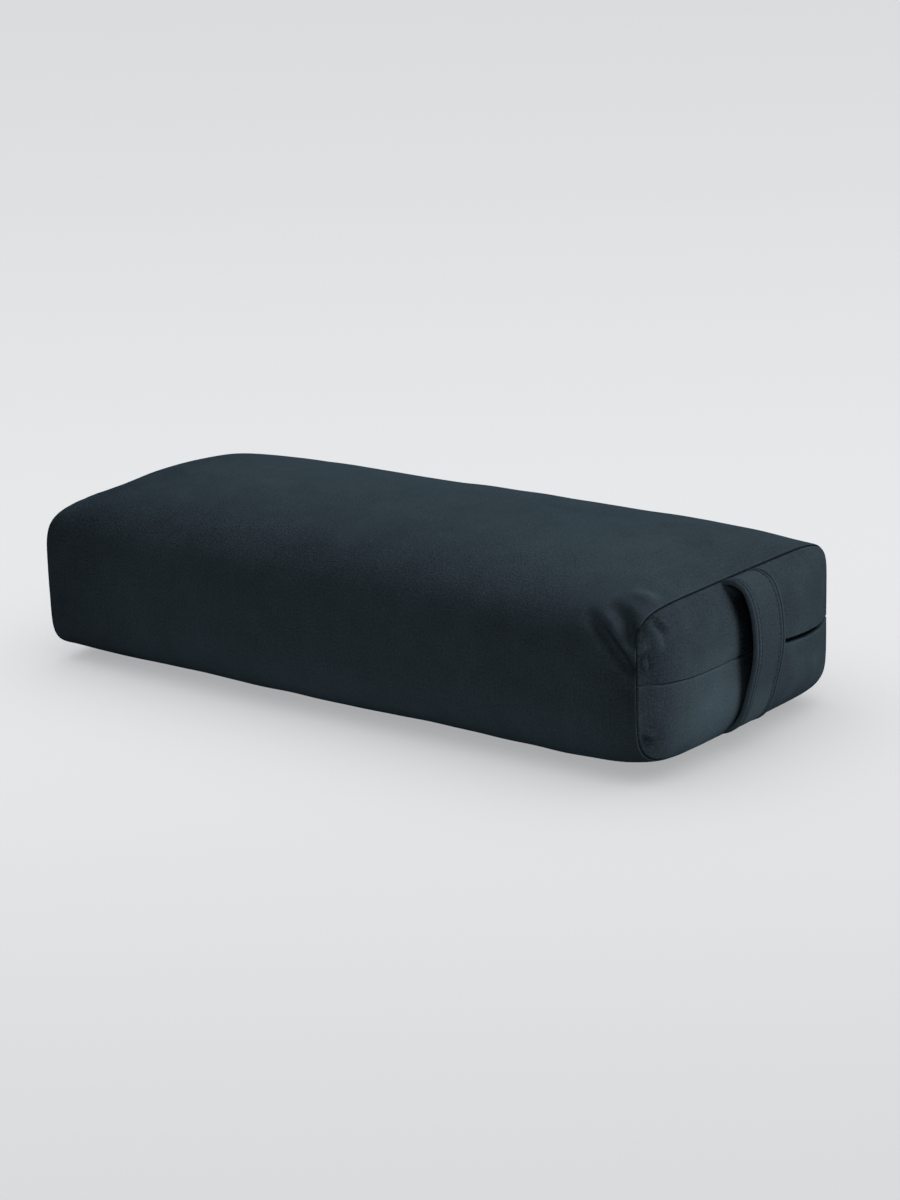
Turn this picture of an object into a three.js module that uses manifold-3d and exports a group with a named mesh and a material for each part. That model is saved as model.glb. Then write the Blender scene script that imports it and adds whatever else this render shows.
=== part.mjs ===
// A rectangular yoga bolster: a firm filled cushion in a cloth cover. One cloth panel wraps round the
// length, and an end panel closes each end. The end panel at the carrying end is sewn from an upper and
// a lower half, whose middle seam opens into a short slit, and a flat carrying strap bows over it.
//
// Millimetres. +X points out of the carrying end, +Y across the width, +Z up. The origin is the middle of
// the flat that the bolster rests on.

import * as THREE from "three";
import { mergeVertices } from "three/addons/utils/BufferGeometryUtils.js";
import Module from "manifold-3d";

const wasm = await Module();
wasm.setup();

// Driving dimensions
const HALF_LENGTH = 320; // from the middle to either end seam
const CLOTH = 2; // an end panel with its seam allowance behind it
const GAP = 0.3; // air between neighbouring pieces
const FLATTENED = 1.5; // depth of belly that the floor flattens

// The seam outline at each end. Lift is how far its lowest line hangs above the floor, crown the rise of
// its top edge, and bulge the swell of the panel inside it. Each corner is a superellipse power, and a
// higher power is a squarer corner. Front is the -Y side and back the +Y side.
const CARRY_END = {
  side: 1, width: 283, height: 131, lift: 14, crown: 0, bulge: 21, sideSwell: 1,
  topFront: 7.6, topBack: 7.2, bottomFront: 5, bottomBack: 7.5,
};
const FAR_END = {
  side: -1, width: 287, height: 132, lift: 8, crown: 4, bulge: 12, sideSwell: 1,
  topFront: 7, topBack: 5.2, bottomFront: 6, bottomBack: 6,
};
// The swollen middle. The cover reaches it within a hand's width of each seam.
const MIDDLE = { crown: 26, sideSwell: 12, topFront: 5.1, topBack: 5.1, bottomFront: 4, bottomBack: 4 };
const FULLNESS_POWER = 9;
const SIDE_FULLNESS_POWER = 5;
const PANEL_SWELL_POWER = 4;

// Troughs where the cover gathers at the front top corner of the carrying end
const CREASES = [
  { fromX: 258, fromY: -128, fromZ: 139, toX: 320, toY: -145, toZ: 97, width: 8, depth: 3.2 },
  { fromX: 272, fromY: -112, fromZ: 146, toX: 320, toY: -142, toZ: 127, width: 7, depth: 2.2 },
];
const CREASE_SKEW = 1.6; // above 1 the deepest point lies nearer to the seam

// The middle seam of the carrying end from front to back, and the slit that it opens into
const MIDDLE_SEAM = [
  { across: -146, up: 87 },
  { across: -121, up: 84 },
  { across: -97, up: 82.8 },
  { across: -55, up: 83 },
  { across: -24, up: 83.4 },
  { across: 20, up: 81 },
  { across: 55, up: 77.3 },
  { across: 90, up: 74.5 },
  { across: 146, up: 72.5 },
];
const SLIT = { from: 4, to: 139, width: 3.2 };

// The carrying strap, whose centre line is given as points outside the seam plane and above the floor
const STRAP = { width: 45, thickness: 4, centreY: -1.5 };
const STITCH_CHANNEL = { inset: 6, width: 1.6, depth: 0.6 };
const STRAP_ROUTE = [
  { out: -6, up: 139.5 },
  { out: 2, up: 142.3 },
  { out: 11, up: 144.2 },
  { out: 21.5, up: 139.5 },
  { out: 29, up: 125 },
  { out: 33, up: 99.5 },
  { out: 32.2, up: 80 },
  { out: 27, up: 57 },
  { out: 21, up: 37 },
  { out: 13.5, up: 25 },
  { out: 3, up: 18 },
  { out: -6, up: 15.5 },
];

// Mesh fineness
const AROUND = 64; // points round a cross-section
const CORNER_CROWDING = 0.35; // how far those points gather at the corners
// Stations along the cover, as shares of half the length, and rings of a panel, as shares of its outline
const STATIONS = [0, 0.22, 0.42, 0.58, 0.7, 0.79, 0.85, 0.89, 0.92, 0.945, 0.965, 0.982];
const PANEL_RINGS = [1, 0.94, 0.86, 0.74, 0.58, 0.4, 0.2];
const STRAP_STEPS = 40;
const SEAM_STEPS = 32;

// Point k of the unit outline, a superellipse with a power of its own in each corner.
function unitOutline(k, power) {
  const even = (k / AROUND) * 2 * Math.PI;
  const angle = even + (CORNER_CROWDING * Math.sin(4 * even)) / 4;
  const [across, up] = [Math.cos(angle), Math.sin(angle)];
  const corner = power((up > 0 ? "top" : "bottom") + (across > 0 ? "Back" : "Front"));
  const reach = (Math.abs(across) ** corner + Math.abs(up) ** corner) ** (-1 / corner);
  return [across * reach, up * reach];
}

// How deep the creases dent the cover at a point.
function creaseDepth(point) {
  return CREASES.reduce((deepest, crease) => {
    const from = new THREE.Vector3(crease.fromX, crease.fromY, crease.fromZ);
    const trough = new THREE.Line3(from, new THREE.Vector3(crease.toX, crease.toY, crease.toZ));
    const along = trough.closestPointToPointParameter(point, true);
    const aside = trough.at(along, new THREE.Vector3()).distanceTo(point);
    const lengthwise = Math.sin(Math.PI * along ** CREASE_SKEW);
    const crosswise = Math.exp(-((aside / crease.width) ** 2));
    return Math.max(deepest, crease.depth * lengthwise * crosswise);
  }, 0);
}

// The cover's cross-section at a share of the half length from -1, the far seam, to 1, the carrying seam.
function coverSection(share) {
  const fullness = 1 - Math.abs(share) ** FULLNESS_POWER;
  const atEnd = (key) => THREE.MathUtils.lerp(FAR_END[key], CARRY_END[key], (share + 1) / 2);
  const filled = (key) => THREE.MathUtils.lerp(atEnd(key), MIDDLE[key], fullness);
  const sideFullness = 1 - Math.abs(share) ** SIDE_FULLNESS_POWER;
  const sideSwell = THREE.MathUtils.lerp(atEnd("sideSwell"), MIDDLE.sideSwell, sideFullness);
  const halfHeight = atEnd("height") / 2;
  const lift = atEnd("lift");
  const middle = new THREE.Vector3(share * HALF_LENGTH, 0, lift + halfHeight - FLATTENED);
  const points = [];
  for (let k = 0; k < AROUND; k++) {
    const [across, up] = unitOutline(k, filled);
    const y = across * (atEnd("width") / 2 + sideSwell * (1 - up * up));
    const swell = up > 0 ? filled("crown") * (1 - across * across) * up : lift * fullness * up;
    const point = new THREE.Vector3(middle.x, y, middle.z + halfHeight * up + swell);
    const inward = middle.clone().sub(point).setLength(creaseDepth(point));
    point.add(inward);
    point.z = Math.max(point.z, 0);
    points.push(point);
  }
  return points;
}

const seamCentreUp = (end) => end.lift + end.height / 2 - FLATTENED;

// A ring of an end panel's surface, a share of the seam outline in size, set `inward` behind the panel's
// outer face and grown by `grow` all round.
function panelRing(end, share, inward = 0, grow = 0) {
  const centreUp = seamCentreUp(end);
  const x = end.side * (HALF_LENGTH - inward + end.bulge * (1 - share ** PANEL_SWELL_POWER));
  return coverSection(end.side).map((point) => {
    const y = point.y * share + Math.sign(point.y) * grow;
    const z = centreUp + (point.z - centreUp) * share + Math.sign(point.z - centreUp) * grow;
    return new THREE.Vector3(x, y, z);
  });
}

// The middle of an end panel's surface, set `inward` behind its outer face.
function poleOf(end, inward) {
  return new THREE.Vector3(end.side * (HALF_LENGTH + end.bulge - inward), 0, seamCentreUp(end));
}

// Closed skin through rings of equal count, closed at both ends by a point, so that it is one solid.
function skin(rings, firstPole, lastPole) {
  const count = rings[0].length;
  const positions = [firstPole, ...rings.flat(), lastPole].flatMap((p) => [p.x, p.y, p.z]);
  const last = rings.length * count + 1;
  const at = (ring, k) => 1 + ring * count + (k % count);
  const index = [];
  for (let k = 0; k < count; k++) {
    index.push(0, at(0, k + 1), at(0, k));
    for (let ring = 0; ring + 1 < rings.length; ring++) {
      index.push(at(ring, k), at(ring, k + 1), at(ring + 1, k));
      index.push(at(ring, k + 1), at(ring + 1, k + 1), at(ring + 1, k));
    }
    index.push(at(rings.length - 1, k), at(rings.length - 1, k + 1), last);
  }
  const geometry = new THREE.BufferGeometry();
  geometry.setAttribute("position", new THREE.Float32BufferAttribute(positions, 3));
  geometry.setIndex(index);
  return geometry;
}

function toSolid(geometry) {
  const bare = new THREE.BufferGeometry();
  bare.setAttribute("position", geometry.getAttribute("position"));
  bare.setIndex(geometry.getIndex());
  const merged = mergeVertices(bare, 1e-3);
  const vertProperties = new Float32Array(merged.getAttribute("position").array);
  const triVerts = new Uint32Array(merged.getIndex().array);
  return new wasm.Manifold(new wasm.Mesh({ numProp: 3, vertProperties, triVerts }));
}

function toGeometry(solid) {
  const mesh = solid.getMesh();
  const geometry = new THREE.BufferGeometry();
  geometry.setAttribute("position", new THREE.BufferAttribute(mesh.vertProperties, 3));
  geometry.setIndex(new THREE.BufferAttribute(mesh.triVerts, 1));
  return geometry;
}

// The filled cushion, from the far end's dome along the cover to the carrying end's dome.
function cushionGeometry() {
  const behindPanel = CLOTH + GAP;
  const farDome = PANEL_RINGS.toReversed().map((share) => panelRing(FAR_END, share, behindPanel));
  const carryDome = PANEL_RINGS.map((share) => panelRing(CARRY_END, share, behindPanel));
  const shares = [...STATIONS.slice(1).toReversed().map((share) => -share), ...STATIONS];
  const rings = [...farDome, ...shares.map(coverSection), ...carryDome];
  return skin(rings, poleOf(FAR_END, behindPanel), poleOf(CARRY_END, behindPanel));
}

// An end panel before it is cut: its outer face from the middle out to the seam, then its back.
function panelGeometry(end) {
  const face = PANEL_RINGS.toReversed().map((share) => panelRing(end, share));
  const back = PANEL_RINGS.map((share) => panelRing(end, share, CLOTH));
  const rings = [...face, ...back];
  if (end.side > 0) rings.reverse();
  const [first, last] = end.side > 0 ? [CLOTH, 0] : [0, CLOTH];
  return skin(rings, poleOf(end, first), poleOf(end, last));
}

// How far the two lips of the middle seam stand apart.
function lipSpacing(y) {
  const along = THREE.MathUtils.clamp((y - SLIT.from) / (SLIT.to - SLIT.from), 0, 1);
  return GAP + SLIT.width * Math.sqrt(Math.sin(Math.PI * along));
}

// A block that holds everything on one side of the middle seam: side 1 above it, -1 below it.
function blockBeyondSeam(side) {
  const reach = CARRY_END.width;
  const seam = new THREE.SplineCurve(MIDDLE_SEAM.map(({ across, up }) => new THREE.Vector2(across, up)));
  const lip = seam.getPoints(SEAM_STEPS);
  for (const point of lip) point.y -= (side * lipSpacing(point.x)) / 2;
  const frontCorner = new THREE.Vector2(lip[0].x, side * reach);
  const backCorner = new THREE.Vector2(lip[SEAM_STEPS].x, side * reach);
  const shape = new THREE.Shape([frontCorner, ...lip, backCorner]);
  const block = new THREE.ExtrudeGeometry(shape, { depth: 2 * reach, bevelEnabled: false });
  // The shape's own across and up become Y and Z, and it is extruded along X.
  return block.rotateX(Math.PI / 2).rotateZ(Math.PI / 2);
}

function halfPanelGeometry(side) {
  const whole = toSolid(panelGeometry(CARRY_END));
  return toGeometry(whole.subtract(toSolid(blockBeyondSeam(-side))));
}

// The strap's section: a flat band with round edges and a stitched channel along each side of its face.
function strapSection() {
  const [halfWidth, halfThickness] = [STRAP.width / 2, STRAP.thickness / 2];
  const edge = halfThickness * 0.9;
  const shape = new THREE.Shape();
  shape.moveTo(-halfWidth + edge, -halfThickness);
  for (const side of [-1, 1]) {
    const channel = side * (halfWidth - STITCH_CHANNEL.inset);
    shape.lineTo(channel - STITCH_CHANNEL.width / 2, -halfThickness);
    shape.lineTo(channel, -halfThickness + STITCH_CHANNEL.depth);
    shape.lineTo(channel + STITCH_CHANNEL.width / 2, -halfThickness);
  }
  shape.absarc(halfWidth - edge, -halfThickness + edge, edge, -Math.PI / 2, 0);
  shape.absarc(halfWidth - edge, halfThickness - edge, edge, 0, Math.PI / 2);
  shape.absarc(-halfWidth + edge, halfThickness - edge, edge, Math.PI / 2, Math.PI);
  shape.absarc(-halfWidth + edge, -halfThickness + edge, edge, Math.PI, (3 * Math.PI) / 2);
  return shape;
}

// The strap ends at the seams, so what would lie inside its end panel or behind the seams is taken off.
function strapGeometry() {
  const { centreY, width } = STRAP;
  const start = new THREE.Vector3(HALF_LENGTH, centreY, -FLATTENED);
  const route = STRAP_ROUTE.map(({ out, up }) => new THREE.Vector3(out, 0, up).add(start));
  const extrudePath = new THREE.CatmullRomCurve3(route, false, "centripetal");
  const options = { extrudePath, steps: STRAP_STEPS, curveSegments: 2, bevelEnabled: false };
  const band = new THREE.ExtrudeGeometry(strapSection(), options);
  const behindSeams = [width, -GAP].map((inward) => panelRing(CARRY_END, 1, inward, width));
  const dome = PANEL_RINGS.map((share) => panelRing(CARRY_END, share, -GAP, GAP));
  const [firstPole, lastPole] = [CARRY_END.bulge + width, -GAP].map((inward) => poleOf(CARRY_END, inward));
  const bolsterEnd = skin([...behindSeams, ...dome], firstPole, lastPole);
  return toGeometry(toSolid(band).subtract(toSolid(bolsterEnd)));
}

const COVER_COLOUR = 0x34424a;
const STRAP_COLOUR = 0x37464f;
const cloth = (color) => new THREE.MeshStandardMaterial({ color, roughness: 0.92, metalness: 0 });

function piece(name, geometry, color) {
  geometry.computeVertexNormals();
  const mesh = new THREE.Mesh(geometry, cloth(color));
  mesh.name = name;
  return mesh;
}

const bolster = new THREE.Group();
bolster.add(
  piece("cushion", cushionGeometry(), COVER_COLOUR),
  piece("end_panel_upper", halfPanelGeometry(1), COVER_COLOUR),
  piece("end_panel_lower", halfPanelGeometry(-1), COVER_COLOUR),
  piece("end_panel_far", panelGeometry(FAR_END), COVER_COLOUR),
  piece("carry_strap", strapGeometry(), STRAP_COLOUR),
);

export default bolster;
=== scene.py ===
import math

import bpy
import numpy as np
from mathutils import Matrix, Vector, noise


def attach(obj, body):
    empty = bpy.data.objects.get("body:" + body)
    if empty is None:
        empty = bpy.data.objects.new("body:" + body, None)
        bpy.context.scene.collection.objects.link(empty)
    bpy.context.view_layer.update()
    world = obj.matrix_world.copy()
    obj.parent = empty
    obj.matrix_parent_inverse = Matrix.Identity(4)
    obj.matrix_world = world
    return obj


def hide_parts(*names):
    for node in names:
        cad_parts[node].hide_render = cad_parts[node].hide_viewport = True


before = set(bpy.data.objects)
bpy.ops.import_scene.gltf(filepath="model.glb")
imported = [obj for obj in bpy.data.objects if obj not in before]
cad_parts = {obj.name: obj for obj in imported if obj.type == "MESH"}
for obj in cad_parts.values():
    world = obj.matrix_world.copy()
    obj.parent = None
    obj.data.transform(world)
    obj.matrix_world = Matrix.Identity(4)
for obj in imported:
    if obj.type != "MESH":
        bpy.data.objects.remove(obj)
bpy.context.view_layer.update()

# Sizes are in millimetres and degrees. The frame and Blender are in metres.
MM = 0.001
HALF_LENGTH = 320  # from the middle to either end seam
FLATTENED = 1.5  # depth of belly that the floor flattens

# The seam outline at each end, with a superellipse power for each corner. Front is the -Y side.
CARRY_END = dict(side=1, width=283, height=131, lift=14, crown=0, bulge=21, side_swell=1,
                 top_front=7.6, top_back=7.2, bottom_front=5, bottom_back=7.5)
FAR_END = dict(side=-1, width=287, height=132, lift=8, crown=4, bulge=12, side_swell=1,
               top_front=7, top_back=5.2, bottom_front=6, bottom_back=6)
MIDDLE = dict(crown=26, side_swell=12, top_front=5.1, top_back=5.1, bottom_front=4, bottom_back=4)
# How squarely the crown, the sides and the end panels swell
FULLNESS_POWER = 9
SIDE_FULLNESS_POWER = 5
PANEL_SWELL_POWER = 4

# The middle seam of the carrying end from front to back, and the slit that it opens into. The filling
# behind the slit draws back by its recess, over its reach.
MIDDLE_SEAM = [(-146, 87), (-121, 84), (-97, 82.8), (-55, 83), (-24, 83.4),
               (20, 81), (55, 77.3), (90, 74.5), (146, 72.5)]
SLIT = dict(start=4, end=139, width=3.2, recess=10, reach=9)

# The carrying strap, and its centre line outside the seam plane and above the floor. It is pinched where
# it is sewn in, a little narrower at its waist, and cupped across.
STRAP = dict(width=45, thickness=4, centre_y=-1.5, pinch=0.45, pinch_reach=6, waist=0.012, cup=0.5)
STRAP_ROUTE = [(-3, 138.5), (2, 141), (11, 142.7), (21.5, 138), (29, 123.5), (33, 98), (32.2, 78.5),
               (27, 55.5), (21, 35.5), (13.5, 23.5), (3, 16.8), (-3, 15)]

# Where the camera stands, as measured from the photograph
CAMERA = dict(azimuth=38.19, elevation=16.28, distance=2624, roll=-1.66, target=(17, 12.4, 70.8),
              lens=90, sensor=36, clip=100e3)

SPAN_POINTS = 24  # points of a smooth curve to each span, and of a crease in all
NOISE_SHIFT = (17.3, -9.1, 4.7)  # between the noises of one seed and the next
NOISE_GAIN = 1.6


# Curves and fields

def lerp(a, b, share):
    return a + (b - a) * share


def smooth_curve(points, count):
    """A centripetal Catmull-Rom curve through a few points, as count points evenly spaced along it."""
    points = np.array(points, float)
    points = np.vstack([2 * points[0] - points[1], points, 2 * points[-1] - points[-2]])
    fine = []
    for p0, p1, p2, p3 in zip(points, points[1:], points[2:], points[3:]):
        t0 = 0
        t1 = t0 + np.linalg.norm(p1 - p0) ** 0.5
        t2 = t1 + np.linalg.norm(p2 - p1) ** 0.5
        t3 = t2 + np.linalg.norm(p3 - p2) ** 0.5
        for t in np.linspace(t1, t2, SPAN_POINTS, endpoint=False):
            a1 = lerp(p0, p1, (t - t0) / (t1 - t0))
            a2 = lerp(p1, p2, (t - t1) / (t2 - t1))
            a3 = lerp(p2, p3, (t - t2) / (t3 - t2))
            b1 = lerp(a1, a2, (t - t0) / (t2 - t0))
            b2 = lerp(a2, a3, (t - t1) / (t3 - t1))
            fine.append(lerp(b1, b2, (t - t1) / (t2 - t1)))
    fine.append(points[-2])
    return evenly(np.array(fine), count)


def lengths_along(points):
    steps = np.linalg.norm(np.diff(points, axis=0), axis=1)
    return np.concatenate([[0], np.cumsum(steps)])


def evenly(points, shares):
    """Points of a polyline at shares of its length, or at a number of even shares."""
    if np.isscalar(shares):
        shares = np.linspace(0, 1, shares)
    travelled = lengths_along(points)
    at = np.asarray(shares) * travelled[-1]
    return np.stack([np.interp(at, travelled, points[:, axis]) for axis in range(points.shape[1])], axis=1)


def nearest_on(path, points):
    """Distance from each point to a polyline, and how far along it the nearest point lies, from 0 to 1."""
    travelled = lengths_along(path)
    best = np.full(len(points), np.inf)
    along = np.zeros(len(points))
    for start, end, before, after in zip(path, path[1:], travelled, travelled[1:]):
        run = end - start
        t = np.clip((points - start) @ run / max(run @ run, 1e-12), 0, 1)
        away = np.linalg.norm(points - start - t[:, None] * run, axis=1)
        closer = away < best
        best[closer] = away[closer]
        along[closer] = (lerp(before, after, t) / travelled[-1])[closer]
    return best, along


def ruffle(points, size, seed):
    """Smooth noise from about -1 to 1, with lumps of a given size."""
    shift = Vector([part * seed for part in NOISE_SHIFT])
    return np.array([noise.noise(Vector(p) / size + shift) for p in np.asarray(points).tolist()]) * NOISE_GAIN


def lumps(points, *layers):
    """Several noises added up, each given as its height, size and seed."""
    return sum(height * ruffle(points, size, seed) for height, size, seed in layers)


def bell(values, centre, width):
    """1 at a centre, fading smoothly to either side of it."""
    return np.exp(-((values - centre) / width) ** 2)


def ramp(values, start, end):
    """0 before a start and 1 beyond an end, which may lie to either side of it."""
    return np.clip((values - start) / (end - start), 0, 1)


def placed(points, depth):
    """Points across and up, set at a depth of their own so that each end has noise of its own."""
    return np.column_stack([np.full(len(points), float(depth)), points])


def grid_normals(grid):
    """Unit normals, out of the cover or strap, of a grid of points whose columns close into rings."""
    down = np.gradient(grid, axis=0)
    across = np.roll(grid, -1, axis=1) - np.roll(grid, 1, axis=1)
    normal = np.cross(across, down)
    return normal / np.maximum(np.linalg.norm(normal, axis=2, keepdims=True), 1e-9)


# Creases: each is a soft line through a few points, with its half width and its rise, less than 0 for a
# trough. Those of the cover are in space, and those of the carrying end panel are across and up on it.
COVER_CREASES = [
    dict(path=[(262, -129, 138), (279, -137, 130), (290, -141, 123), (300, -143, 113), (312, -143, 102),
               (322, -143, 96)], width=5.2, rise=-9.0),
    dict(path=[(278, -121, 143), (289, -124, 141), (301, -129, 137), (313, -138, 128), (321, -142, 115)],
         width=6.2, rise=-7.6),
    dict(path=[(279, -130, 136), (292, -136, 131), (305, -140, 124)], width=4, rise=1.6),
    dict(path=[(286, -104, 149), (300, -104, 148), (316, -103, 145)], width=7, rise=3.2),
    dict(path=[(303, -141, 122), (310, -142, 118), (319, -142, 113)], width=2.8, rise=2.6),
]
PANEL_CREASES = [
    dict(path=[(-126, 143), (-133, 134), (-136, 118)], width=3.6, rise=-2.8),
    dict(path=[(-122, 143), (-120, 132), (-114, 124)], width=3.2, rise=-3.0),
    dict(path=[(-127, 138), (-124, 127), (-122, 110)], width=3.6, rise=2.2),
    dict(path=[(-136, 132), (-135, 122), (-134, 112)], width=2.4, rise=2.0),
    dict(path=[(-141, 114), (-136, 105), (-132, 96)], width=6, rise=-2.6),
    dict(path=[(-138, 46), (-129, 34)], width=2.6, rise=-3.6),
    dict(path=[(19, 75.4), (25, 77.2), (32, 79.2)], width=1.3, rise=-2.4),
    dict(path=[(-136, 50), (-126, 42)], width=2.4, rise=1.4),
]


def crease_rise(points, creases):
    total = np.zeros(len(points))
    for crease in creases:
        away, along = nearest_on(smooth_curve(crease["path"], SPAN_POINTS), points)
        # It fades towards its two ends, and is at its fullest beyond its middle.
        fade = np.sin(math.pi * np.clip(along, 0, 1) ** 1.5) ** 0.7
        total += crease["rise"] * fade * bell(away, 0, crease["width"])
    return total


# The cover's shape

FINE_ANGLES = 4001
EVEN_AT = 0.8  # the share of the half length at which the angles are evenly spaced


def unit_outline(angle, power):
    across, up = np.cos(angle), np.sin(angle)
    top = np.where(across > 0, power("top_back"), power("top_front"))
    bottom = np.where(across > 0, power("bottom_back"), power("bottom_front"))
    corner = np.where(up > 0, top, bottom)
    reach = (np.abs(across) ** corner + np.abs(up) ** corner) ** (-1 / corner)
    return across * reach, up * reach


def cover_grid(shares, angles):
    """The cover at shares of the half length, -1 to 1, and angles round it."""
    share, angle = np.meshgrid(shares, angles, indexing="ij")
    fullness = 1 - np.abs(share) ** FULLNESS_POWER

    def at_end(key):
        return lerp(FAR_END[key], CARRY_END[key], (share + 1) / 2)

    def filled(key):
        return lerp(at_end(key), MIDDLE[key], fullness)

    across, up = unit_outline(angle, filled)
    side_swell = lerp(at_end("side_swell"), MIDDLE["side_swell"], 1 - np.abs(share) ** SIDE_FULLNESS_POWER)
    y = across * (at_end("width") / 2 + side_swell * (1 - up * up))
    swell = np.where(up > 0, filled("crown") * (1 - across * across) * up, at_end("lift") * fullness * up)
    z = at_end("lift") + at_end("height") / 2 * (1 + up) + swell - FLATTENED
    return np.stack([share * HALF_LENGTH, y, z], axis=2)


def even_angles(count):
    """Angles whose points are evenly spaced round the cover, from the middle of its underside."""
    fine = np.linspace(-0.5 * math.pi, 1.5 * math.pi, FINE_ANGLES)
    ring = cover_grid(np.array([EVEN_AT]), fine)[0]
    travelled = lengths_along(ring)
    return np.interp(np.linspace(0, travelled[-1], count, endpoint=False), travelled, fine)


def seam_ring(end, angles, inset):
    """The seam outline at an end as points across and up, drawn in by an inset."""
    ring = cover_grid(np.array([float(end["side"])]), angles)[0, :, 1:]
    run = np.roll(ring, -1, axis=0) - np.roll(ring, 1, axis=0)
    outward = np.stack([run[:, 1], -run[:, 0]], axis=1) / np.linalg.norm(run, axis=1, keepdims=True)
    return ring - outward * inset


def panel_outline(end):
    """The outline of an end panel, just inside the seam."""
    return seam_ring(end, np.linspace(0, 2 * math.pi, OUTLINE_POINTS, endpoint=False), PANEL_INSET)


def outline_share(end, points):
    """How far out points across and up lie on an end, from 0 at its middle to 1 at its seam."""
    across = points[:, 0] / (end["width"] / 2)
    up = (points[:, 1] - centre_up(end)) / (end["height"] / 2)
    rim_across, rim_up = unit_outline(np.arctan2(up, across), lambda key: end[key])
    return np.hypot(across, up) / np.hypot(rim_across, rim_up)


def centre_up(end):
    return end["lift"] + end["height"] / 2 - FLATTENED


def dome_reach(end, points):
    """How far an end panel stands out of its seam plane."""
    return end["bulge"] * (1 - np.minimum(outline_share(end, points), 1) ** PANEL_SWELL_POWER)


# Meshes

UV_UNIT = 10  # millimetres of cloth to one unit of uv


def quads_of(rows, columns, closed):
    """Quads of a grid, whose columns close into rings or don't."""
    last_column = columns if closed else columns - 1
    row, column = np.meshgrid(np.arange(rows - 1), np.arange(last_column), indexing="ij")
    after = (column + 1) % columns
    faces = np.stack([row * columns + column, row * columns + after,
                      (row + 1) * columns + after, (row + 1) * columns + column], axis=2)
    return faces.reshape(-1, 4)


def capped_tube(rows, columns):
    """Faces of a tube of rings, with a flat cap at each end."""
    faces = quads_of(rows, columns, closed=True).tolist()
    faces.append(list(range(columns))[::-1])
    faces.append([(rows - 1) * columns + k for k in range(columns)])
    return faces


def make_piece(name, points, faces, uv, material, tone_and_painted_light=0.0):
    """A smooth mesh that rides on the part. Points and uv are in millimetres, with one uv for each point.

    tone_and_painted_light is how much lighter the cloth is at each point, or darker if it is less than 0: a
    mottled tone, with painted shade and painted light.
    """
    mesh = bpy.data.meshes.new(name)
    mesh.from_pydata((np.asarray(points) * MM).tolist(), [], faces)
    layer = mesh.uv_layers.new(name="cloth")
    corners = np.zeros(len(mesh.loops), int)
    mesh.loops.foreach_get("vertex_index", corners)
    layer.data.foreach_set("uv", np.asarray(uv, float)[corners].ravel() / UV_UNIT)
    lie = mesh.attributes.new("tone_and_painted_light", "FLOAT", "POINT")
    lie.data.foreach_set("value", np.broadcast_to(np.asarray(tone_and_painted_light, float), len(points)).copy())
    mesh.polygons.foreach_set("use_smooth", [True] * len(mesh.polygons))
    mesh.materials.append(material)
    mesh.validate()
    mesh.update()
    piece = bpy.data.objects.new(name, mesh)
    bpy.context.scene.collection.objects.link(piece)
    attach(piece, "root")
    return piece


# Materials

class Nodes:
    """A short way to write a material's node tree."""

    def __init__(self, name):
        self.material = bpy.data.materials.new(name)
        self.material.use_nodes = True
        self.tree = self.material.node_tree
        self.shader = self.tree.nodes["Principled BSDF"]

    def add(self, kind, inputs=None, **settings):
        node = self.tree.nodes.new(kind)
        for key, value in settings.items():
            setattr(node, key, value)
        for key, value in (inputs or {}).items():
            self.feed(node, key, value)
        return node

    def feed(self, node, key, value):
        if isinstance(value, bpy.types.NodeSocket):
            self.tree.links.new(value, node.inputs[key])
        else:
            node.inputs[key].default_value = value

    def math(self, operation, a, b=0.0, c=0.0):
        return self.add("ShaderNodeMath", {0: a, 1: b, 2: c}, operation=operation).outputs[0]

    def total(self, first, *others):
        for value in others:
            first = self.math("ADD", first, value)
        return first

    def spread(self, value, low, high):
        """Maps 0 to 1 onto low to high."""
        return self.add("ShaderNodeMapRange", {"Value": value, "To Min": low, "To Max": high}).outputs[0]

    def noise(self, vector, detail=2.0, roughness=0.5):
        inputs = {"Vector": vector, "Scale": 1.0, "Detail": detail, "Roughness": roughness}
        return self.add("ShaderNodeTexNoise", inputs).outputs["Fac"]

    def stretched(self, vector, across, along):
        """A vector in which a length across and a length along, in millimetres, are each one unit."""
        scale = (UV_UNIT / across, UV_UNIT / along, 1)
        return self.add("ShaderNodeMapping", {"Vector": vector, "Scale": scale}).outputs[0]


# The cloth's features in millimetres across and along, how far each makes the cloth darker or lighter,
# and how high each stands
THREAD = 0.85  # from one thread of the weave to the next
WOBBLE = dict(size=(9, 9), turn=5.0)  # how the threads wander, where 2 pi is from one to the next
CLOTH_SIZES = dict(warp_slubs=(1.3, 38), weft_slubs=(30, 1.5), fuzz=(1.9, 1.9), blotches=(70, 90))
CLOTH_TONES = dict(slubs=(0.74, 1.14), fuzz=(-1.0, 1.0), blotches=(-0.07, 0.07), weave=0.05, rubbed=0.35)
CLOTH_HEIGHTS = dict(weave=0.10, slubs=0.12, fuzz=0.55)
WEFT_SLUB_SHARE = 0.6
SHEEN_TINT = (0.27, 0.66, 1.0, 1)


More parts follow.
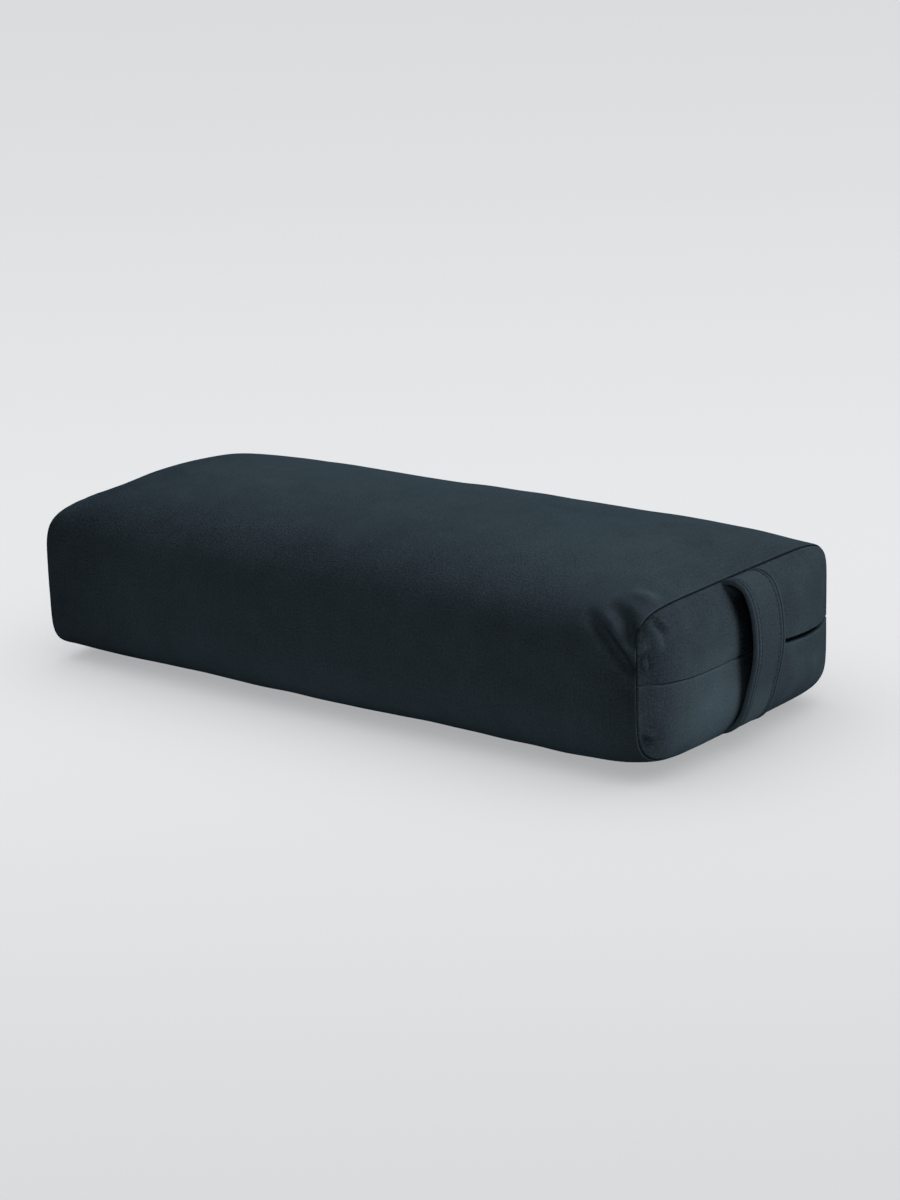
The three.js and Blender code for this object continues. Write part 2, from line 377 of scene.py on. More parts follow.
def cloth_material(name, colour, sheen):
    """Closely woven matte cotton: threads both ways, slubs, fuzz, a mottled dye and edges rubbed paler."""
    nodes = Nodes(name)
    uv = nodes.add("ShaderNodeTexCoord").outputs["UV"]
    place = nodes.add("ShaderNodeSeparateXYZ", {0: uv})
    wobble = nodes.math("MULTIPLY", nodes.noise(nodes.stretched(uv, *WOBBLE["size"])), WOBBLE["turn"])

    def threads(coordinate):
        phase = nodes.math("MULTIPLY_ADD", coordinate, UV_UNIT * 2 * math.pi / THREAD, wobble)
        return nodes.math("MULTIPLY_ADD", nodes.math("SINE", phase), 0.5, 0.5)

    def feature(name, **settings):
        return nodes.noise(nodes.stretched(uv, *CLOTH_SIZES[name]), **settings)

    warp, weft = threads(place.outputs["X"]), threads(place.outputs["Y"])
    weave = nodes.math("ADD", nodes.math("MULTIPLY", warp, weft), nodes.math("MAXIMUM", warp, weft))
    weft_slubs = nodes.math("MULTIPLY", feature("weft_slubs", detail=3.0), WEFT_SLUB_SHARE)
    slubs = nodes.math("ADD", feature("warp_slubs", detail=3.0), weft_slubs)
    fuzz = feature("fuzz", detail=4.0, roughness=0.75)
    blotches = feature("blotches", detail=3.0)
    pointed = nodes.add("ShaderNodeNewGeometry").outputs["Pointiness"]
    rubbed = nodes.add("ShaderNodeMapRange", {"Value": pointed, "From Min": 0.505, "From Max": 0.56,
                                              "To Max": CLOTH_TONES["rubbed"]}).outputs[0]
    # Each piece's mottled tone, with its painted shade and painted light
    tone_and_painted_light = nodes.add("ShaderNodeAttribute", attribute_name="tone_and_painted_light").outputs["Fac"]

    tone = nodes.total(nodes.spread(slubs, *CLOTH_TONES["slubs"]), nodes.spread(fuzz, *CLOTH_TONES["fuzz"]),
                       nodes.spread(blotches, *CLOTH_TONES["blotches"]),
                       nodes.math("MULTIPLY", weave, CLOTH_TONES["weave"]), rubbed, tone_and_painted_light)
    dyed = nodes.add("ShaderNodeVectorMath", {0: colour, "Scale": tone}, operation="SCALE").outputs[0]
    nodes.feed(nodes.shader, "Base Color", dyed)
    nodes.feed(nodes.shader, "Roughness", nodes.spread(fuzz, 0.82, 0.98))
    nodes.shader.inputs["Specular IOR Level"].default_value = 0.0
    nodes.shader.inputs["Sheen Weight"].default_value = sheen
    nodes.shader.inputs["Sheen Roughness"].default_value = 0.45
    nodes.shader.inputs["Sheen Tint"].default_value = SHEEN_TINT

    height = nodes.total(*(nodes.math("MULTIPLY", part, CLOTH_HEIGHTS[name])
                           for part, name in ((weave, "weave"), (slubs, "slubs"), (fuzz, "fuzz"))))
    bump = nodes.add("ShaderNodeBump", {"Height": height, "Strength": 0.9, "Distance": MM})
    nodes.feed(nodes.shader, "Normal", bump.outputs[0])
    return nodes.material


# Painted light on the floor: how pale it is at distances in metres, which run from behind the bolster to
# before it
FLOOR_FADE = [(-6.4, 0.86), (-2.7, 0.91), (-1.1, 0.962), (-0.25, 1.0), (0.3, 0.962), (0.7, 0.90), (1.0, 0.85)]
FLOOR_REACH = 30.0  # metres from the middle
FLOOR_COLOUR = (0.60, 0.608, 0.62)


def floor_material():
    """A pale floor with a painted pool of light, which fades gently from its middle to the front and back."""
    nodes = Nodes("pale_floor")
    place = nodes.add("ShaderNodeTexCoord").outputs["Object"]
    azimuth = math.radians(CAMERA["azimuth"])
    toward_camera = (math.sin(azimuth), -math.cos(azimuth), 0)
    forward = nodes.add("ShaderNodeVectorMath", {0: place, 1: toward_camera},
                        operation="DOT_PRODUCT").outputs["Value"]
    nearest, furthest = FLOOR_FADE[-1][0], FLOOR_FADE[0][0]
    share = nodes.math("DIVIDE", nodes.math("SUBTRACT", forward, furthest), nearest - furthest)
    fade = nodes.add("ShaderNodeValToRGB", {"Fac": share})
    fade.color_ramp.interpolation = "B_SPLINE"
    stops = fade.color_ramp.elements
    while len(stops) < len(FLOOR_FADE):
        stops.new(0.5)
    for stop, (distance, pale) in zip(stops, FLOOR_FADE):
        stop.position = (distance - furthest) / (nearest - furthest)
        stop.color = (*(pale * c for c in FLOOR_COLOUR), 1)
    nodes.feed(nodes.shader, "Base Color", fade.outputs["Color"])
    nodes.shader.inputs["Roughness"].default_value = 0.95
    nodes.shader.inputs["Specular IOR Level"].default_value = 0.0
    return nodes.material


COVER_CLOTH = cloth_material("cover_cloth", colour=(0.0125, 0.0177, 0.0214), sheen=0.008)
STRAP_CLOTH = cloth_material("strap_cloth", colour=(0.0129, 0.0181, 0.0220), sheen=0.008)
THREAD_COTTON = cloth_material("stitching_thread", colour=(0.019, 0.027, 0.032), sheen=0.01)


# The filled cover

AROUND = 336
ROLL = dict(run=1.6, inset=0.8, depth=2.4, steps=7, out=0.2)  # the rounded edge that meets the end seam
PANEL_ROOM = 3.2  # from a panel's dome in to the filling behind it
POLE_ROOM = 6  # the same at the middle of the carrying end, beside the slit
DOME_SHARES = (0.955, 0.92, 0.86, 0.76, 0.62, 0.45, 0.25, 0.08)  # rings of the dome, out to in
# Stations along the cover, as places from its middle with the spacing there
COVER_KNOTS = [(-317.4, 2.2), (-290, 4), (-230, 7), (200, 7), (250, 3), (317.4, 1.6)]
PUCKERS = dict(height=0.5, reach=9, ends=60)  # ripples at the end seams, worked out near the ends only
HELD = dict(over=10, share=0.25)  # the share of its rises that the cover keeps at its end seams
# Painted shade (below 0) and painted light (above 0) on the cover, at the places where it stands
COVER_PAINTED_LIGHT = dict(far_end=-0.30, near_top=0.28, near_corner=-0.34, low_front=0.26, foot=-0.90,
                 folds=0.06, groove=-0.5, behind_slit=-1.0)


def cover_shares():
    """Stations along the cover, closer together towards the ends and closest at the carrying end."""
    places, spacings = zip(*COVER_KNOTS)
    x = [places[0]]
    while x[-1] < places[-1]:
        x.append(x[-1] + np.interp(x[-1], places, spacings))
    stretched = lerp(places[0], places[-1], (np.array(x) - x[0]) / (x[-1] - x[0]))
    return stretched / HALF_LENGTH


def seam_pucker(points, end):
    """Small ripples that run out from an end seam and fade."""
    back_from_seam = HALF_LENGTH - np.abs(points[:, 0])
    ripple = lumps(placed(points[:, 1:], 40 * end["side"]), (0.7, 13, 3), (0.5, 6, 4))
    return PUCKERS["height"] * ripple * np.exp(-np.maximum(back_from_seam, 0) / PUCKERS["reach"])


def cover_tone_and_painted_light(points):
    """How much lighter or darker the cloth is: a mottled tone, with painted shade and painted light at the
    places in COVER_PAINTED_LIGHT.
    """
    x, y, z = points.T
    front = ramp(y, -110, -140)
    tone_and_painted_light = lumps(points, (0.06, 30, 21), (0.06, 12, 22))
    # Painted shade, darker towards the far end
    tone_and_painted_light += COVER_PAINTED_LIGHT["far_end"] * bell(x, -HALF_LENGTH, 90)
    # Painted light on the top, towards the carrying end and the front
    tone_and_painted_light += COVER_PAINTED_LIGHT["near_top"] * bell(x, 220, 110) * ramp(z, 118, 138) * ramp(y, 20, -40)
    # Painted shade on the front beside the carrying end seam
    tone_and_painted_light += COVER_PAINTED_LIGHT["near_corner"] * bell(x, HALF_LENGTH, 30) * front * ramp(z, 125, 95)
    # Painted light from the floor, lighter low on the front
    tone_and_painted_light += COVER_PAINTED_LIGHT["low_front"] * front * ramp(z, 70, 25) * ramp(x, -220, -20)
    # Painted contact shadow along the foot, fainter towards the carrying end
    tone_and_painted_light += COVER_PAINTED_LIGHT["foot"] * bell(z, 0, 15) * np.maximum(ramp(x, 280, 140), 0.3)
    # Painted shade in the creases' troughs and painted light on their ridges
    folded = x > 230
    tone_and_painted_light[folded] += np.clip(COVER_PAINTED_LIGHT["folds"] * crease_rise(points[folded], COVER_CREASES), -0.5, 0.3)
    inside = (x > HALF_LENGTH + 2) & (slit_recess(points[:, 1:]) > 1)
    return np.where(inside, COVER_PAINTED_LIGHT["behind_slit"], tone_and_painted_light)


def make_cover():
    angles = even_angles(AROUND)
    grid = cover_grid(cover_shares(), angles)
    normal = grid_normals(grid)
    flat = grid.reshape(-1, 3)
    rise = lumps(flat, (0.9, 110, 1), (0.45, 42, 2)) + crease_rise(flat, COVER_CREASES)
    for end in (CARRY_END, FAR_END):
        near = flat[:, 0] * end["side"] > HALF_LENGTH - PUCKERS["ends"]
        rise[near] += seam_pucker(flat[near], end)
    # The last stations keep to the seam outline.
    rise *= lerp(HELD["share"], 1, ramp(np.abs(flat[:, 0]), HALF_LENGTH, HALF_LENGTH - HELD["over"]))
    grid = grid + normal * rise.reshape(grid.shape[:2])[:, :, None]

    def end_rings(end, last, before):
        """The rolled edge at an end seam, then the filling's dome behind the panel, out to in."""
        heading = (last - before) / np.linalg.norm(last - before, axis=1, keepdims=True)
        crest = np.column_stack([np.full(len(angles), end["side"] * (HALF_LENGTH + ROLL["out"])),
                                 seam_ring(end, angles, ROLL["inset"])])
        foot = crest - (end["side"] * ROLL["depth"], 0, 0)
        rings = []
        for t in np.linspace(0, 1, ROLL["steps"] + 1)[1:]:
            rings.append((1 - t) ** 3 * last + 3 * t * (1 - t) ** 2 * (last + heading * ROLL["run"])
                         + 3 * t * t * (1 - t) * crest + t ** 3 * foot)
        rim = seam_ring(end, angles, 0)
        for share in DOME_SHARES:
            across_up = rim * share + (0, centre_up(end) * (1 - share))
            out = np.full(len(angles), end["bulge"] * (1 - share ** PANEL_SWELL_POWER) - PANEL_ROOM)
            if end is CARRY_END:
                out -= slit_recess(across_up)
            rings.append(np.column_stack([end["side"] * (HALF_LENGTH + out), across_up]))
        return np.array(rings)

    carry = end_rings(CARRY_END, grid[-1], grid[-2])
    far = end_rings(FAR_END, grid[0], grid[1])[::-1]
    grid = np.concatenate([far, grid, carry])
    grid[:, :, 2] = np.maximum(grid[:, :, 2], 0)
    rows = len(grid)
    poles = [[-(HALF_LENGTH + FAR_END["bulge"] - PANEL_ROOM), 0, centre_up(FAR_END)],
             [HALF_LENGTH + CARRY_END["bulge"] - POLE_ROOM, 0, centre_up(CARRY_END)]]
    points = np.vstack([grid.reshape(-1, 3), poles])
    faces = quads_of(rows, AROUND, closed=True).tolist()
    for k in range(AROUND):
        after = (k + 1) % AROUND
        faces.append([rows * AROUND, after, k])
        faces.append([rows * AROUND + 1, (rows - 1) * AROUND + k, (rows - 1) * AROUND + after])
    round_length = lengths_along(grid[rows // 2])
    travel = lengths_along(grid[:, 0])
    uv = np.stack(np.meshgrid(travel, round_length, indexing="ij"), axis=2).reshape(-1, 2)
    uv = np.vstack([uv, [[travel[0], 0], [travel[-1], 0]]])
    tone_and_painted_light = cover_tone_and_painted_light(points)
    # Little light falls into the groove at each end seam.
    for row in range(ROLL["steps"] // 2 + 1, ROLL["steps"] + 1):
        for start in (len(far) - 1 - row, rows - len(carry) + row):
            tone_and_painted_light[start * AROUND:(start + 1) * AROUND] = COVER_PAINTED_LIGHT["groove"]
    cover = make_piece("bolster_cover", points, faces, uv, COVER_CLOTH, tone_and_painted_light)
    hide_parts("cushion")


# The middle seam and its slit

SEAM_POINTS = 160
SEAM_LINE = smooth_curve(MIDDLE_SEAM, SEAM_POINTS)


def seam_up(across):
    return np.interp(across, SEAM_LINE[:, 0], SEAM_LINE[:, 1])


def slit_share(across):
    """0 outside the slit, rising to 1 in its middle."""
    along = np.clip((across - SLIT["start"]) / (SLIT["end"] - SLIT["start"]), 0, 1)
    return np.sqrt(np.sin(math.pi * along).clip(0))


def slit_recess(points):
    """How far the filling draws back behind the slit."""
    away = np.abs(points[:, 1] - seam_up(points[:, 0]))
    return SLIT["recess"] * slit_share(points[:, 0]) ** 2 * bell(away, 0, SLIT["reach"])


# The end panels

PANEL_INSET = 1.5  # from the seam outline in to the panel's turned edge
PANEL_PROUD = 0.4  # how far a panel's outer face stands above the filling's dome
EDGE_RADIUS = 1.2
LIP_RADIUS = 1.3  # of the edges along the middle seam
LIP_GAP = 0.3  # from the middle seam to each lip where the slit is closed
LIP_MARGIN = 0.5  # from the panel's outline in to where a lip begins
OUTLINE_POINTS = 720
TURNED_IN = (1.2, 2.6)  # how far back the turned edge reaches, in two steps
EDGE_STEPS = [0, 0.22, 0.5, 0.9, 1.5, 2.3, 3.4, 4.8, 6.6, 9]  # grid lines inside each edge
PANEL_SPACING = 2.6  # between the grid lines further in
FAR_PANEL_SPACING = 4
SEAM_DIP = dict(depth=1.1, reach=4)  # how the carrying end panels sink at the middle seam
FRONT_DIP = dict(depth=3.5, reach=16)  # how the stitching draws them in along their front edge
RIM_RIPPLE_REACH = 6
SEAM_RIPPLE_REACH = 5
RIM_HELD = 5  # a panel's rises fade out over this much at its rim
# Painted shade (below 0) and painted light (above 0) on the panels at places; all_over lightens the whole
# carrying end
PANEL_TONE_AND_PAINTED_LIGHT = dict(front=-0.50, all_over=0.06, low=0.70, folds=0.13, behind_strap=-1.0, turned_in=-0.8)
SHADE_FORWARD = 5  # from the strap's middle to the middle of the painted shadow behind it


def graded(length, spacing):
    """Shares of a length, with close steps inside both ends and even steps between."""
    inner = np.linspace(EDGE_STEPS[-1], length - EDGE_STEPS[-1], max(3, round(length / spacing)))
    steps = np.concatenate([EDGE_STEPS[:-1], inner, [length - s for s in EDGE_STEPS[-2::-1]]])
    return steps / length


def patch(bottom, top, left, right, spacing):
    """A grid of points between four edge curves, which meet at their ends (a Coons patch)."""
    columns = graded(lengths_along(bottom)[-1], spacing)
    rows = graded(lengths_along(left)[-1], spacing)
    bottom, top = evenly(bottom, columns), evenly(top, columns)
    left, right = evenly(left, rows), evenly(right, rows)
    s, t = columns[None, :, None], rows[:, None, None]
    ruled = (1 - t) * bottom[None] + t * top[None] + (1 - s) * left[:, None] + s * right[:, None]
    corners = ((1 - s) * (1 - t) * bottom[0] + s * (1 - t) * bottom[-1]
               + (1 - s) * t * top[0] + s * t * top[-1])
    return ruled - corners


def turned_edge(away, radius):
    """How far a panel falls back within a radius of its edge, as a quarter round."""
    inside = np.clip(radius - away, 0, radius)
    return radius - np.sqrt(radius ** 2 - inside ** 2)


def panel_rise(end, flat):
    """Creases, ripples and soft unevenness of an end panel."""
    place = placed(flat, 50 * end["side"])
    rise = lumps(place, (0.5, 55, 5), (0.25, 22, 6))
    to_rim = (1 - outline_share(end, flat)) * end["height"] / 2
    rise += lumps(place, (0.35, 8, 7)) * np.exp(-to_rim / RIM_RIPPLE_REACH)
    if end is CARRY_END:
        rise += crease_rise(flat, PANEL_CREASES)
        to_seam = np.abs(flat[:, 1] - seam_up(flat[:, 0]))
        rise += lumps(place, (0.3, 9, 8)) * np.exp(-to_seam / SEAM_RIPPLE_REACH)
        rise -= SEAM_DIP["depth"] * np.exp(-to_seam / SEAM_DIP["reach"])
        rise -= FRONT_DIP["depth"] * bell(flat[:, 0], -end["width"] / 2, FRONT_DIP["reach"])
    return rise * ramp(to_rim, 0, RIM_HELD)


def panel_tone_and_painted_light(end, flat):
    """How much lighter or darker the cloth is: a mottled tone, with painted shade and painted light at the
    places in PANEL_TONE_AND_PAINTED_LIGHT.
    """
    tone_and_painted_light = lumps(placed(flat, 90 * end["side"]), (0.12, 26, 23), (0.08, 11, 24))
    from_front = flat[:, 0] + end["width"] / 2
    # Painted shade, darker along the front edge
    tone_and_painted_light += PANEL_TONE_AND_PAINTED_LIGHT["front"] * bell(from_front, 0, 34)
    if end is CARRY_END:
        tone_and_painted_light += PANEL_TONE_AND_PAINTED_LIGHT["all_over"]
        # Painted light from the floor, lighter low down
        tone_and_painted_light += PANEL_TONE_AND_PAINTED_LIGHT["low"] * bell(from_front, 78, 46) * ramp(flat[:, 1], 105, 55)
        # Painted shade in the creases' troughs and painted light on their ridges
        tone_and_painted_light += np.clip(PANEL_TONE_AND_PAINTED_LIGHT["folds"] * crease_rise(flat, PANEL_CREASES), -0.5, 0.4)
        # Painted shadow of the strap on the panel behind it
        behind = (flat[:, 0] - STRAP["centre_y"] + SHADE_FORWARD) / (STRAP["width"] / 2)
        tone_and_painted_light += PANEL_TONE_AND_PAINTED_LIGHT["behind_strap"] * np.exp(-behind ** 6) * ramp(flat[:, 1], 140, 128)
    return tone_and_painted_light


def make_panel(name, end, grid, edges, node):
    """An end panel from its grid of points across and up, with (curve, radius) for each turned edge."""
    rows, columns = grid.shape[:2]
    flat = grid.reshape(-1, 2)
    out = dome_reach(end, flat) + PANEL_PROUD + panel_rise(end, flat)
    for curve, radius in edges:
        away, _ = nearest_on(curve, flat)
        out -= turned_edge(away, radius)
    face = np.column_stack([HALF_LENGTH + out, flat]).reshape(rows, columns, 3)
    border = border_of(rows, columns)
    points = face.reshape(-1, 3)
    faces = quads_of(rows, columns, closed=False).tolist()
    uv = flat.copy()
    # The edge turns in behind the panel, so that no open rim shows.
    for back in TURNED_IN:
        previous = border if back == TURNED_IN[0] else list(range(len(points) - len(border), len(points)))
        behind = face.reshape(-1, 3)[border] - (back, 0, 0)
        first = len(points)
        points = np.vstack([points, behind])
        uv = np.vstack([uv, flat[border]])
        for k in range(len(border)):
            after = (k + 1) % len(border)
            faces.append([previous[k], first + k, first + after, previous[after]])
    if end["side"] < 0:
        points[:, 0] *= -1
        faces = [q[::-1] for q in faces]
    tone_and_painted_light = panel_tone_and_painted_light(end, points[:, 1:])
    # Painted shade on the turned-in edge, inside the seam
    tone_and_painted_light[rows * columns:] = PANEL_TONE_AND_PAINTED_LIGHT["turned_in"]
    panel = make_piece(name, points, faces, uv, COVER_CLOTH, tone_and_painted_light)
    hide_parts(node)


def border_of(rows, columns):
    """Indices round the border of a grid."""
    bottom = [k for k in range(columns)]
    right = [row * columns + columns - 1 for row in range(1, rows)]
    top = [(rows - 1) * columns + k for k in range(columns - 2, -1, -1)]
    left = [row * columns for row in range(rows - 2, 0, -1)]
    return bottom + right + top + left


def stretch(ring, first, last):
    """The part of a closed ring from one of its points round to another."""
    return ring[(first + np.arange((last - first) % len(ring) + 1)) % len(ring)]


def meeting(ring, lip, across_sign):
    """The point of a ring where a lip of the middle seam meets it, at the front or the back."""
    away = np.abs(ring[:, 1] - np.interp(ring[:, 0], lip[:, 0], lip[:, 1]))
    return int(np.argmin(np.where(ring[:, 0] * across_sign > 0, away, np.inf)))


def corner_index(ring, across_sign, up_sign, end):
    """The point of a ring at one of its rounded corners."""
    lean = ring[:, 0] / end["width"] * across_sign + (ring[:, 1] - centre_up(end)) / end["height"] * up_sign
    return int(np.argmax(lean))


def make_carry_panels():
    ring = panel_outline(CARRY_END)
    corner = {name: corner_index(ring, *signs, CARRY_END) for name, signs in
              dict(back_top=(1, 1), front_top=(-1, 1), front_bottom=(-1, -1), back_bottom=(1, -1)).items()}
    for name, side, node in (("end_panel_top_half", 1, "end_panel_upper"),
                             ("end_panel_bottom_half", -1, "end_panel_lower")):
        lip = SEAM_LINE.copy()
        lip[:, 1] += side * (LIP_GAP + 0.5 * (SLIT["width"] + LIP_GAP) * slit_share(lip[:, 0]))
        front, back = meeting(ring, lip, -1), meeting(ring, lip, 1)
        # Each edge runs away from the seam or from front to back.
        if side > 0:
            left = stretch(ring, corner["front_top"], front)[::-1]
            right = stretch(ring, back, corner["back_top"])
            outer = stretch(ring, corner["back_top"], corner["front_top"])[::-1]
        else:
            left = stretch(ring, front, corner["front_bottom"])
            right = stretch(ring, corner["back_bottom"], back)[::-1]
            outer = stretch(ring, corner["front_bottom"], corner["back_bottom"])
        inside = (lip[:, 0] > left[0, 0] + LIP_MARGIN) & (lip[:, 0] < right[0, 0] - LIP_MARGIN)
        inner = np.vstack([left[:1], lip[inside], right[:1]])
        grid = patch(inner, outer, left, right, PANEL_SPACING)
        if side < 0:
            grid = grid[::-1]
        rim = np.vstack([left, outer, right[::-1]])
        make_panel(name, CARRY_END, grid, [(rim, EDGE_RADIUS), (inner, LIP_RADIUS)], node)


def make_far_panel():
    ring = panel_outline(FAR_END)
    back_top, front_top, front_bottom, back_bottom = [
        corner_index(ring, *signs, FAR_END) for signs in ((1, 1), (-1, 1), (-1, -1), (1, -1))]
    bottom = stretch(ring, front_bottom, back_bottom)
    top = stretch(ring, back_top, front_top)[::-1]
    left = stretch(ring, front_top, front_bottom)[::-1]
    right = stretch(ring, back_bottom, back_top)
    grid = patch(bottom, top, left, right, FAR_PANEL_SPACING)
    make_panel("end_panel_back", FAR_END, grid, [(ring, EDGE_RADIUS)], "end_panel_far")


# The carrying strap

STITCH_LINE = 8.2  # from the strap's edge in to its topstitching
HEM_LINE = 4.0  # from the strap's edge in to the step where its edge is turned over
STITCH = dict(length=2.9, width=0.75, thickness=0.55, pitch=3.9, sunk=0.65, margin=7)
STITCH_AHEAD = 0.5  # how far ahead the strap's run is taken from
STITCH_SIDES = 6
STITCH_ROUTE_POINTS = 400
BEAD_STATIONS = [(-0.5, 0.35), (-0.42, 0.7), (-0.25, 0.95), (0.25, 0.95), (0.42, 0.7), (0.5, 0.35)]
STRAP_STATIONS = 170
# Ridges and grooves along the strap: places in from its edge, half widths and heights
STRAP_RELIEF = [(2.0, 1.2, 0.7), (HEM_LINE, 0.55, -1.0), ((HEM_LINE + STITCH_LINE) / 2, 1.2, 0.5),
                (STITCH_LINE, 0.75, -1.1)]
RIDGE_PAINTED_LIGHT = 0.35  # painted light: how much lighter the cloth is for each millimetre of a ridge
GROOVE_PAINTED_SHADE = 0.40  # painted shade: how much darker it is for each millimetre of a groove
# Where the face between the rows of stitching is lighter: centres and half widths as shares of the strap's
# length, and how much lighter
FACE_LIGHTENING = [(0.12, 0.12, 0.28), (0.87, 0.16, 0.60)]
FACE_EDGE = 0.6  # how softly the face begins at the rows of stitching
SECTION_POINTS = 91
SECTION_CROWDING = 1.15  # above 1, the points of the section are closer towards the strap's edges


def strap_route(count):
    route = smooth_curve(STRAP_ROUTE, count)
    run = np.gradient(route, axis=0)
    run /= np.linalg.norm(run, axis=1, keepdims=True)
    outward = np.stack([-run[:, 1], run[:, 0]], axis=1)
    outward *= np.sign(outward[len(outward) // 2, 0])
    return route, outward


def strap_section():
    """The strap's outer and inner faces as one ring: places across, heights, painted light and shade, and
    share of the face.
    """
    half, thick = STRAP["width"] / 2, STRAP["thickness"] / 2
    across = np.linspace(-1, 1, SECTION_POINTS)
    across = np.sign(across) * (1 - (1 - np.abs(across)) ** SECTION_CROWDING)
    from_edge = (1 - np.abs(across)) * half
    edge = np.sqrt(np.clip(1 - (1 - from_edge / thick).clip(0) ** 2, 0, 1))
    outer = thick * edge
    tone_and_painted_light = np.zeros(len(across))
    for place, width, height in STRAP_RELIEF:
        rise = height * bell(from_edge, place, width)
        outer += rise
        # Painted light on the ridges and painted shade in the grooves
        tone_and_painted_light += rise * (RIDGE_PAINTED_LIGHT if height > 0 else GROOVE_PAINTED_SHADE)
    face = 1 / (1 + np.exp((STITCH_LINE - from_edge) / FACE_EDGE))
    plain = np.zeros(len(across))
    pairs = ((across * half, across * half), (outer, -thick * edge), (tone_and_painted_light, plain), (face, plain))
    return [np.concatenate([front[::-1], back[1:-1]]) for front, back in pairs]


def make_strap():
    route, outward = strap_route(STRAP_STATIONS)
    across, height, section_painted_light, face = strap_section()
    travelled = lengths_along(route)
    total = travelled[-1]
    rings, tone_and_painted_light = [], []
    for point, out, at in zip(route, outward, travelled):
        share = at / total
        pinch = 1 - STRAP["pinch"] * bell(min(at, total - at), 0, STRAP["pinch_reach"])
        waist = 1 - STRAP["waist"] * math.sin(math.pi * share) ** 2
        cup = -STRAP["cup"] * math.sin(math.pi * share) * (across / (STRAP["width"] / 2)) ** 2
        lift = height * pinch + cup
        lighter = sum(amount * bell(share, centre, width) for centre, width, amount in FACE_LIGHTENING)
        tone_and_painted_light.append(section_painted_light + face * lighter)
        rings.append(np.column_stack([HALF_LENGTH + point[0] + out[0] * lift,
                                      STRAP["centre_y"] + across * waist,
                                      point[1] + out[1] * lift]))
    grid = np.array(rings)
    uneven = lumps(grid.reshape(-1, 3), (0.12, 9, 11)).reshape(grid.shape[:2])
    grid = grid + grid_normals(grid) * uneven[:, :, None]
    columns = len(across)
    points = grid.reshape(-1, 3)
    faces = capped_tube(STRAP_STATIONS, columns)
    girth = lengths_along(np.column_stack([across, height]))
    uv = np.stack(np.meshgrid(travelled, girth, indexing="ij"), axis=2).reshape(-1, 2)[:, ::-1]
    strap = make_piece("carrying_strap", points, faces, uv, STRAP_CLOTH, np.ravel(tone_and_painted_light))
    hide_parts("carry_strap")


def capsule(sides):
    """A unit stitch along X: a rounded bead one long and one thick, as points and faces."""
    points = []
    for x, radius in BEAD_STATIONS:
        for k in range(sides):
            turn = 2 * math.pi * k / sides
            points.append((x, radius * math.cos(turn) / 2, radius * math.sin(turn) / 2))
    return np.array(points), capped_tube(len(BEAD_STATIONS), sides)


def make_stitching():
    route, outward = strap_route(STITCH_ROUTE_POINTS)
    travelled = lengths_along(route)
    bead, bead_faces = capsule(STITCH_SIDES)
    height = STRAP["thickness"] / 2 - STITCH["sunk"]

    def at_length(values, at):
        return np.array([np.interp(at, travelled, values[:, axis]) for axis in (0, 1)])

    points, faces = [], []
    for side in (-1, 1):
        y = STRAP["centre_y"] + side * (STRAP["width"] / 2 - STITCH_LINE)
        for at in np.arange(STITCH["margin"], travelled[-1] - STITCH["margin"], STITCH["pitch"]):
            here = at_length(route, at)
            ahead = at_length(route, at + STITCH_AHEAD) - here
            run = ahead / np.linalg.norm(ahead)
            out = at_length(outward, at)
            along = np.array([run[0], 0, run[1]])
            up = np.array([out[0], 0, out[1]])
            middle = np.array([HALF_LENGTH + here[0], y, here[1]]) + up * height
            stitch = (bead[:, :1] * STITCH["length"] * along + bead[:, 1:2] * (0, STITCH["width"], 0)
                      + bead[:, 2:] * STITCH["thickness"] * up)
            first = len(points) * len(bead)
            faces.extend([first + corner for corner in face] for face in bead_faces)
            points.append(middle + stitch)
    points = np.vstack(points)
    make_piece("strap_stitching", points, faces, points[:, 1:], THREAD_COTTON)


# Floor, light and camera

WORLD_COLOUR = (0.80, 0.81, 0.83, 1)
# Azimuth, elevation, spread and strength of each light
FLOOR_LIGHT = (0, 90, 120, 3.5)
FLOOR_SHADOW_LIGHT = (0, 90, 150, 0.75)
BOLSTER_LIGHTS = dict(key=(25, 28, 35, 6.4), back=(135, 28, 35, 7.0), fill=(-60, 28, 35, 2.2))


def make_stage():
    mesh = bpy.data.meshes.new("floor")
    corners = [(x * FLOOR_REACH, y * FLOOR_REACH, 0) for x, y in ((-1, -1), (1, -1), (1, 1), (-1, 1))]
    mesh.from_pydata(corners, [], [(0, 1, 2, 3)])
    mesh.materials.append(floor_material())
    floor = bpy.data.objects.new("floor", mesh)
    bpy.context.scene.collection.objects.link(floor)
    return floor


def group_of(name, things):
    """A collection that says what a light reaches. It isn't part of the scene itself."""
    group = bpy.data.collections.new(name)
    for thing in things:
        group.objects.link(thing)
    return group


def heading_of(azimuth, elevation):
    """The unit vector that points along an azimuth, from +X towards +Y, and an elevation."""
    azimuth, elevation = math.radians(azimuth), math.radians(elevation)
    return Vector((math.cos(azimuth) * math.cos(elevation), math.sin(azimuth) * math.cos(elevation),
                   math.sin(elevation)))


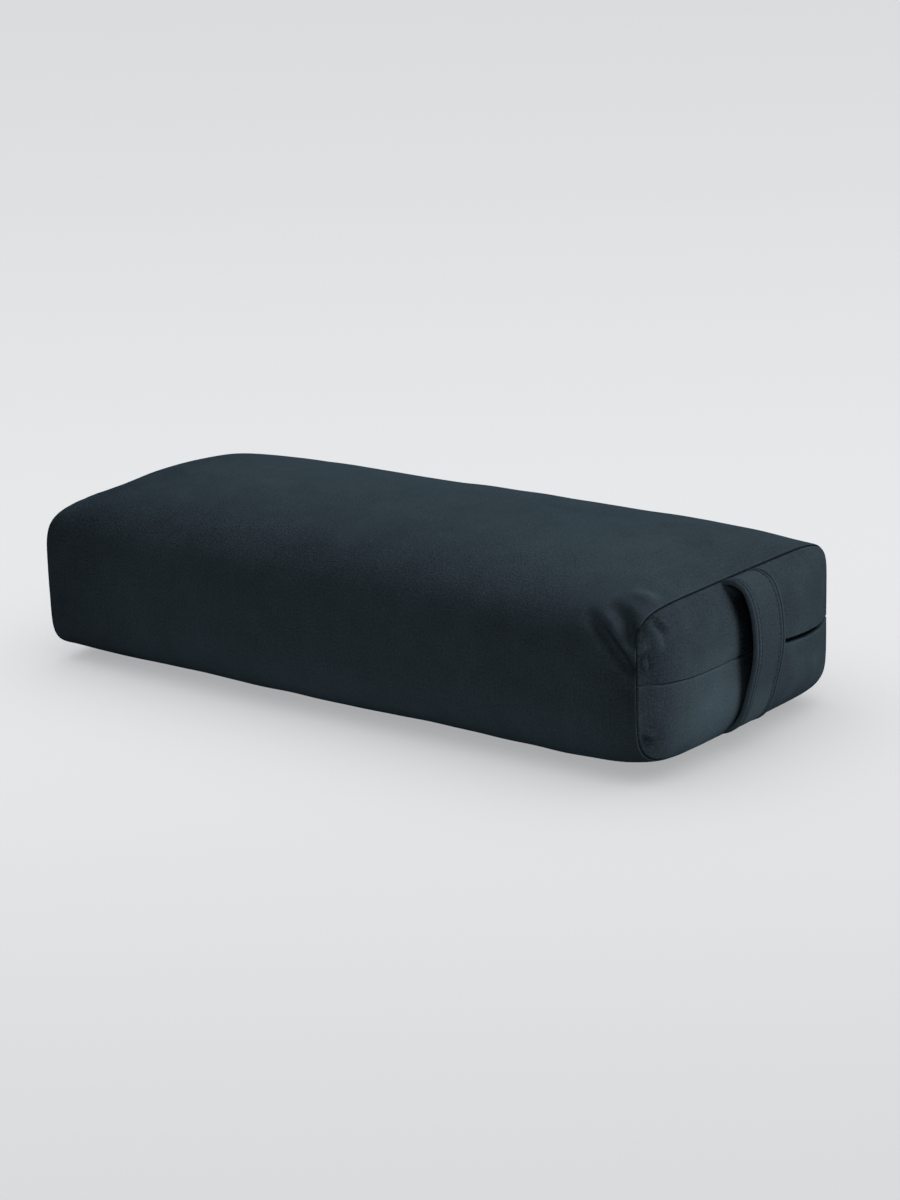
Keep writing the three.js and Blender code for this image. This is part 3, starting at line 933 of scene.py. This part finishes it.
def far_softbox(name, azimuth, elevation, spread, strength, reaches, shaded_by=None):
    """Even light from one side, as from a large softbox far away.

    reaches and shaded_by are the things that it lights, and those that cast its shadows if not all do.
    """
    light = bpy.data.lights.new(name, "SUN")
    light.angle = math.radians(spread)
    light.energy = strength
    lamp = bpy.data.objects.new(name, light)
    lamp.rotation_euler = heading_of(azimuth, elevation).to_track_quat("Z", "Y").to_euler()
    lamp.light_linking.receiver_collection = reaches
    if shaded_by:
        lamp.light_linking.blocker_collection = shaded_by
    bpy.context.scene.collection.objects.link(lamp)


def make_light(floor):
    world = bpy.data.worlds.new("studio")
    world.use_nodes = True
    world.node_tree.nodes["Background"].inputs["Color"].default_value = WORLD_COLOUR
    world.cycles_visibility.diffuse = False
    world.cycles_visibility.glossy = False
    bpy.context.scene.world = world
    pieces = [thing for thing in bpy.data.objects if thing.type == "MESH" and thing != floor]
    on_bolster = group_of("lit_bolster", pieces)
    on_floor = group_of("lit_floor", [floor])
    far_softbox("floor_light", *FLOOR_LIGHT, on_floor, shaded_by=on_floor)
    far_softbox("floor_shadow_light", *FLOOR_SHADOW_LIGHT, on_floor)
    for name, settings in BOLSTER_LIGHTS.items():
        far_softbox(name, *settings, on_bolster)
    bpy.context.scene.view_settings.view_transform = "Standard"


def make_camera():
    # The camera's azimuth is from -Y towards +X.
    back = heading_of(CAMERA["azimuth"] - 90, CAMERA["elevation"])
    data = bpy.data.cameras.new("camera")
    data.lens = CAMERA["lens"]
    data.sensor_width = CAMERA["sensor"]
    data.clip_end = CAMERA["clip"] * MM
    camera = bpy.data.objects.new("camera", data)
    place = Matrix.Translation((Vector(CAMERA["target"]) + back * CAMERA["distance"]) * MM)
    roll = Matrix.Rotation(math.radians(CAMERA["roll"]), 4, "Z")
    camera.matrix_world = place @ back.to_track_quat("Z", "Y").to_matrix().to_4x4() @ roll
    bpy.context.scene.collection.objects.link(camera)
    bpy.context.scene.camera = camera


make_camera()
floor_piece = make_stage()
make_cover()
make_carry_panels()
make_far_panel()
make_strap()
make_stitching()
make_light(floor_piece)
